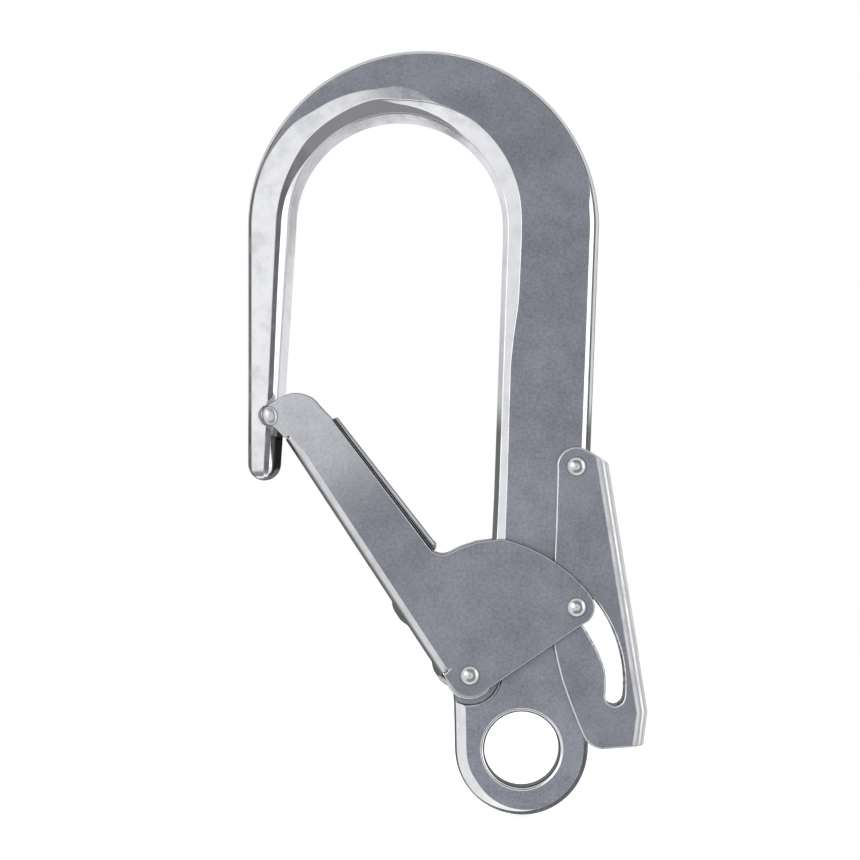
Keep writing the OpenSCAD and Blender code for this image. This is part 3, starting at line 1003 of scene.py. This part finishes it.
def metal(name, flat, edge, flat_rough, edge_rough, contrast=0.3, grain=0.3, dents=0.25,
          tone_ramp=None, rim=None):
    """Satin metal with a fine tumbled grain on its flat faces and brighter, smoother edges.
    tone_ramp is a start, an end and a colour that the satin turns to towards that end. rim is
    painted shade: how dark the base colour of the steep sides is painted, and optionally a start
    and an end between which this painted shade comes in."""
    material, nodes, links, shader = node_material(name)
    coords = nodes.new("ShaderNodeTexCoord").outputs["Object"]
    shader.inputs["Metallic"].default_value = 1.0
    wander = noise(nodes, links, coords, 420, 4, 0.7)
    share = face_share(nodes, links, wander)
    cloud = remap(nodes, links, noise(nodes, links, coords, 75, 4, 0.65), 0.3, 0.7, 0, 1)
    speck = remap(nodes, links, noise(nodes, links, coords, 1150, 3, 0.75), 0.32, 0.68, 0, 1)
    mixed = math_node(nodes, links, "ADD", math_node(nodes, links, "MULTIPLY", cloud, 0.4),
                      math_node(nodes, links, "MULTIPLY", speck, 0.6))
    dark, light = (tuple(c * k for c in flat) for k in (1 - contrast, 1 + contrast))
    satin = blend_colour(nodes, links, mixed, dark, light)
    # The satin turns to another tone towards one end, lighter in each material here: a plain change of
    # tone by place.
    if tone_ramp:
        start, end, far_tone = tone_ramp
        reach = along(nodes, links, coords, start, end)
        spread = contrast * (1.6 - 1.4 * far_tone[0])
        far_satin = blend_colour(nodes, links, mixed, tuple(c * (1 - spread) for c in far_tone),
                              tuple(min(1, c * (1 + spread)) for c in far_tone))
        satin = blend_colour(nodes, links, reach, satin, far_satin)
    smear = remap(nodes, links, noise(nodes, links, coords, 160, 3, 0.6), 0.35, 0.75, 0, 1)
    polished = blend_colour(nodes, links, smear, edge, tuple(c * 0.88 for c in edge))
    colour = blend_colour(nodes, links, share, polished, satin)
    # Painted shade: steep sides get a darkened base colour, standing in for dark reflections along edges
    # and shadow where parts meet.
    if rim:
        steep = remap(nodes, links, upright(nodes, links), 0.50, 0.84, 1, 0)
        if len(rim) > 1:
            steep = math_node(nodes, links, "MULTIPLY", steep, along(nodes, links, coords, *rim[1:]))
        colour = blend_colour(nodes, links, steep, colour, tuple(c * rim[0] for c in edge))
    links.new(colour, shader.inputs["Base Color"])
    rough_flat = remap(nodes, links, speck, 0, 1, flat_rough - 0.07, flat_rough + 0.07)
    rough_edge = remap(nodes, links, smear, 0, 1, edge_rough, edge_rough + 0.1)
    links.new(mix_number(nodes, links, share, rough_edge, rough_flat), shader.inputs["Roughness"])
    dent = nodes.new("ShaderNodeBump")
    dent.inputs["Strength"].default_value = dents
    dent.inputs["Distance"].default_value = 0.00012
    links.new(noise(nodes, links, coords, 190, 3, 0.6), dent.inputs["Height"])
    fine = nodes.new("ShaderNodeBump")
    fine.inputs["Distance"].default_value = 0.00006
    links.new(mix_number(nodes, links, share, grain * 0.3, grain), fine.inputs["Strength"])
    links.new(noise(nodes, links, coords, 1900, 4, 0.75), fine.inputs["Height"])
    links.new(dent.outputs["Normal"], fine.inputs["Normal"])
    links.new(fine.outputs["Normal"], shader.inputs["Normal"])
    return material


NOSE = gate_place((92, 0), 0)[::2]
ARM_FOOT = gate_place((48, 0), 0)[::2]
SATIN = (0.335, 0.35, 0.395)
MATERIALS = {
    "forged_alloy": metal("forged_alloy", (0.305, 0.320, 0.364), (0.93, 0.935, 0.95),
                          0.50, 0.13, 0.3, 0.35, 0.3,
                          tone_ramp=((0, 205), (0, -15), (0.38, 0.399, 0.454)),
                          # Painted shade and shadow: the body's steep sides turn dark below 104 mm
                          # height, fully from 92 mm down, for the shadow of the gate's nose on the leg's
                          # tip and dark outlines lower down.
                          rim=(0.12, (LEG_X, 104), (LEG_X, 92))),
    "gate_channel": metal("gate_sheet_steel", SATIN, (0.84, 0.845, 0.86),
                          0.48, 0.32, 0.3, 0.35, 0.2,
                          # Painted shade: every steep side of the gate, including its web, folds and
                          # edges, has its base colour darkened to a dark outline.
                          tone_ramp=(ARM_FOOT, NOSE, (0.67, 0.68, 0.71)), rim=(0.15,)),
    "sheet_steel": metal("sheet_steel", SATIN, (0.90, 0.905, 0.92),
                         0.48, 0.32, 0.3, 0.35, 0.2),
    "liner_steel": metal("liner_steel", (0.30, 0.31, 0.34), (0.80, 0.81, 0.84),
                         # Painted shade: every steep side of the liner has its base colour darkened
                         # almost to black, a dark outline where shade falls beside the gate's edge.
                         0.46, 0.30, 0.35, 0.4, 0.3, rim=(0.08,)),
    "rivet_steel": metal("rivet_steel", (0.62, 0.63, 0.66), (0.80, 0.805, 0.82),
                         # Painted shade: steep sides of rivet heads and sleeves have a darkened base
                         # colour, a dark outline where shade falls round each head.
                         0.30, 0.20, 0.2, 0.25, 0.15, rim=(0.2,)),
    "spring_steel": metal("spring_steel", (0.6, 0.61, 0.64), (0.85, 0.855, 0.87),
                          0.26, 0.20, 0.2, 0.2, 0.2),
}


def finish_piece(obj, node, body, slot):
    """Gives a piece its material and slot, puts it in its node's place and on its body."""
    weigh_normals(obj)
    obj.data.materials.clear()
    obj.data.materials.append(MATERIALS[node if node in MATERIALS else slot])
    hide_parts(node)
    if body:
        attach(obj, body)


# ---------------------------------------------------------------- the object

finish_piece(hook_body(), "hook_body", "hook", "forged_alloy")
finish_piece(gate_channel(), "gate_channel", "gate", "sheet_steel")
finish_piece(gate_liner(), "gate_liner", "gate", "liner_steel")
finish_piece(lever_channel(), "lock_lever", "lever", "sheet_steel")

for name, at, shank_r, half, node, body in (
        ("gate_pivot_rivet", GATE_PIVOT, GATE_PIN_R, GATE_HALF, "gate_rivet", "gate"),
        ("lock_cross_pin", LOCK_POINT, LOCK_PIN_R, GATE_HALF, "lock_pin", "gate"),
        ("lever_pivot_rivet", LEVER_PIVOT, LEVER_PIN_R, LEVER_HALF, "lever_rivet", "lever")):
    finish_piece(domed_rivet(name, at, shank_r, half), node, body, "rivet_steel")

for name, at, outer_r, inner_r, length, node, body in (
        ("gate_spacer_sleeve", GATE_PIVOT, GATE_SLEEVE_R, GATE_PIN_R,
         2 * (GATE_HALF - SHEET), "gate_sleeve", "gate"),
        ("lever_spacer_sleeve", LEVER_PIVOT, LEVER_SLEEVE_R, LEVER_PIN_R,
         2 * (LEVER_HALF - SHEET), "lever_sleeve", "lever")):
    finish_piece(sleeve(name, at, outer_r, inner_r, length), node, body, "rivet_steel")

for node, side in (("gate_spring_front", -1), ("gate_spring_back", 1)):
    spring = gate_spring(node + "_coil", side)
    finish_piece(spring, node, None, "spring_steel")
    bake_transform(spring)

push = lever_spring()
finish_piece(push, "lever_spring", "hook", "spring_steel")
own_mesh(push)

# ---------------------------------------------------------------- floor, light, camera

# Brightness of the surroundings by the angle away from straight in front, in degrees:
# to the left, to the right, and above and below
FRONT = [(0, 0.42), (7, 0.44), (11, 0.92)]
REAR = [(85, 0.12), (97, 0.12), (101, 0.80), (130, 0.80), (150, 0.50), (164, 0.20), (180, 0.28)]
LEFT = FRONT + [(24, 0.80), (81, 0.82)] + REAR
RIGHT = FRONT + [(29, 0.90), (34, 0.13), (50, 0.13), (56, 0.95), (81, 0.95)] + REAR
UPRIGHT = FRONT + [(23, 0.90), (30, 0.24), (57, 0.24), (63, 0.92), (81, 0.92)] + REAR


def level_ramp(nodes, links, share, levels):
    ramp = nodes.new("ShaderNodeValToRGB")
    stops = ramp.color_ramp.elements
    while len(stops) < len(levels):
        stops.new(0.5)
    for stop, (degrees, level) in zip(stops, levels):
        stop.position = degrees / 180
        stop.color = (level, level, level * 1.02, 1)
    links.new(share, ramp.inputs["Fac"])
    return ramp.outputs["Color"]


def build_world():
    """Soft studio light in bands of light and shade round the front of the hook."""
    world = bpy.data.worlds.new("studio")
    bpy.context.scene.world = world
    world.use_nodes = True
    nodes, links = world.node_tree.nodes, world.node_tree.links
    nodes.clear()
    coords = nodes.new("ShaderNodeTexCoord")
    split = nodes.new("ShaderNodeSeparateXYZ")
    links.new(coords.outputs["Generated"], split.inputs["Vector"])
    x, y, z = (split.outputs[axis] for axis in "XYZ")
    angle = math_node(nodes, links, "ARCCOSINE", math_node(nodes, links, "MULTIPLY", y, -1), 0)
    share = math_node(nodes, links, "DIVIDE", angle, math.pi)
    squares = math_node(nodes, links, "ADD", math_node(nodes, links, "MULTIPLY", x, x),
                        math_node(nodes, links, "MULTIPLY", z, z))
    reach = math_node(nodes, links, "SQRT", math_node(nodes, links, "ADD", squares, 0.0001), 0)
    sideways = math_node(nodes, links, "DIVIDE", x, reach)
    left = remap(nodes, links, sideways, -0.75, -0.45, 1, 0)
    right = remap(nodes, links, sideways, 0.80, 0.95, 0, 1)
    colour = level_ramp(nodes, links, share, UPRIGHT)
    colour = blend_colour(nodes, links, left, colour, level_ramp(nodes, links, share, LEFT))
    colour = blend_colour(nodes, links, right, colour, level_ramp(nodes, links, share, RIGHT))
    soft = nodes.new("ShaderNodeBackground")
    links.new(remap(nodes, links, z, -1, 1, 1.08, 0.92), soft.inputs["Strength"])
    links.new(colour, soft.inputs["Color"])
    plain = nodes.new("ShaderNodeBackground")
    plain.inputs["Color"].default_value = (1, 1, 1, 1)
    path = nodes.new("ShaderNodeLightPath")
    mix = nodes.new("ShaderNodeMixShader")
    out = nodes.new("ShaderNodeOutputWorld")
    links.new(path.outputs["Is Camera Ray"], mix.inputs["Fac"])
    links.new(soft.outputs["Background"], mix.inputs[1])
    links.new(plain.outputs["Background"], mix.inputs[2])
    links.new(mix.outputs["Shader"], out.inputs["Surface"])


def build_floor():
    half, low = 0.9, cad_low.z - 0.0004
    mesh = bpy.data.meshes.new("floor")
    mesh.from_pydata([(-half, -half, low), (half, -half, low), (half, half, low), (-half, half, low)],
                     [], [(0, 1, 2, 3)])
    floor = bpy.data.objects.new("floor", mesh)
    bpy.context.scene.collection.objects.link(floor)
    material, nodes, links, shader = node_material("pale_floor")
    coords = nodes.new("ShaderNodeTexCoord").outputs["Object"]
    tone = remap(nodes, links, noise(nodes, links, coords, 6, 2), 0.3, 0.7, 0, 1)
    colour = blend_colour(nodes, links, tone, (0.94, 0.94, 0.94), (0.96, 0.96, 0.96))
    links.new(colour, shader.inputs["Base Color"])
    shader.inputs["Roughness"].default_value = 0.9
    shader.inputs["Emission Color"].default_value = (1, 1, 1, 1)
    shader.inputs["Emission Strength"].default_value = 0.85
    mesh.materials.append(material)
    floor.visible_glossy = False


def area_light(name, at, size, power, target):
    data = bpy.data.lights.new(name, "AREA")
    data.shape = "RECTANGLE"
    data.size, data.size_y = size
    data.energy = power
    light = bpy.data.objects.new(name, data)
    light.location = at
    light.rotation_mode = "QUATERNION"
    light.rotation_quaternion = (Vector(target) - Vector(at)).to_track_quat("-Z", "Y")
    bpy.context.scene.collection.objects.link(light)


def build_camera():
    centre = Vector((-0.027, 0, 0.0939))
    distance, view_width = 1.3, 0.2528
    data = bpy.data.cameras.new("camera")
    data.sensor_width = 36
    data.lens = data.sensor_width * (distance - HALF_T * MM) / view_width
    camera = bpy.data.objects.new("camera", data)
    camera.location = centre + Vector((0, -distance, 0))
    camera.rotation_euler = (math.radians(90), 0, 0)
    bpy.context.scene.collection.objects.link(camera)
    bpy.context.scene.camera = camera


build_world()
build_floor()
middle = (cad_low + cad_high) / 2
area_light("key_left", (-0.6, -0.9, 0.35), (0.6, 0.6), 1.3, middle)
area_light("fill_right", (0.9, -0.5, 0.35), (0.4, 0.9), 0.8, middle)
build_camera()
bpy.context.scene.view_settings.view_transform = "Standard"
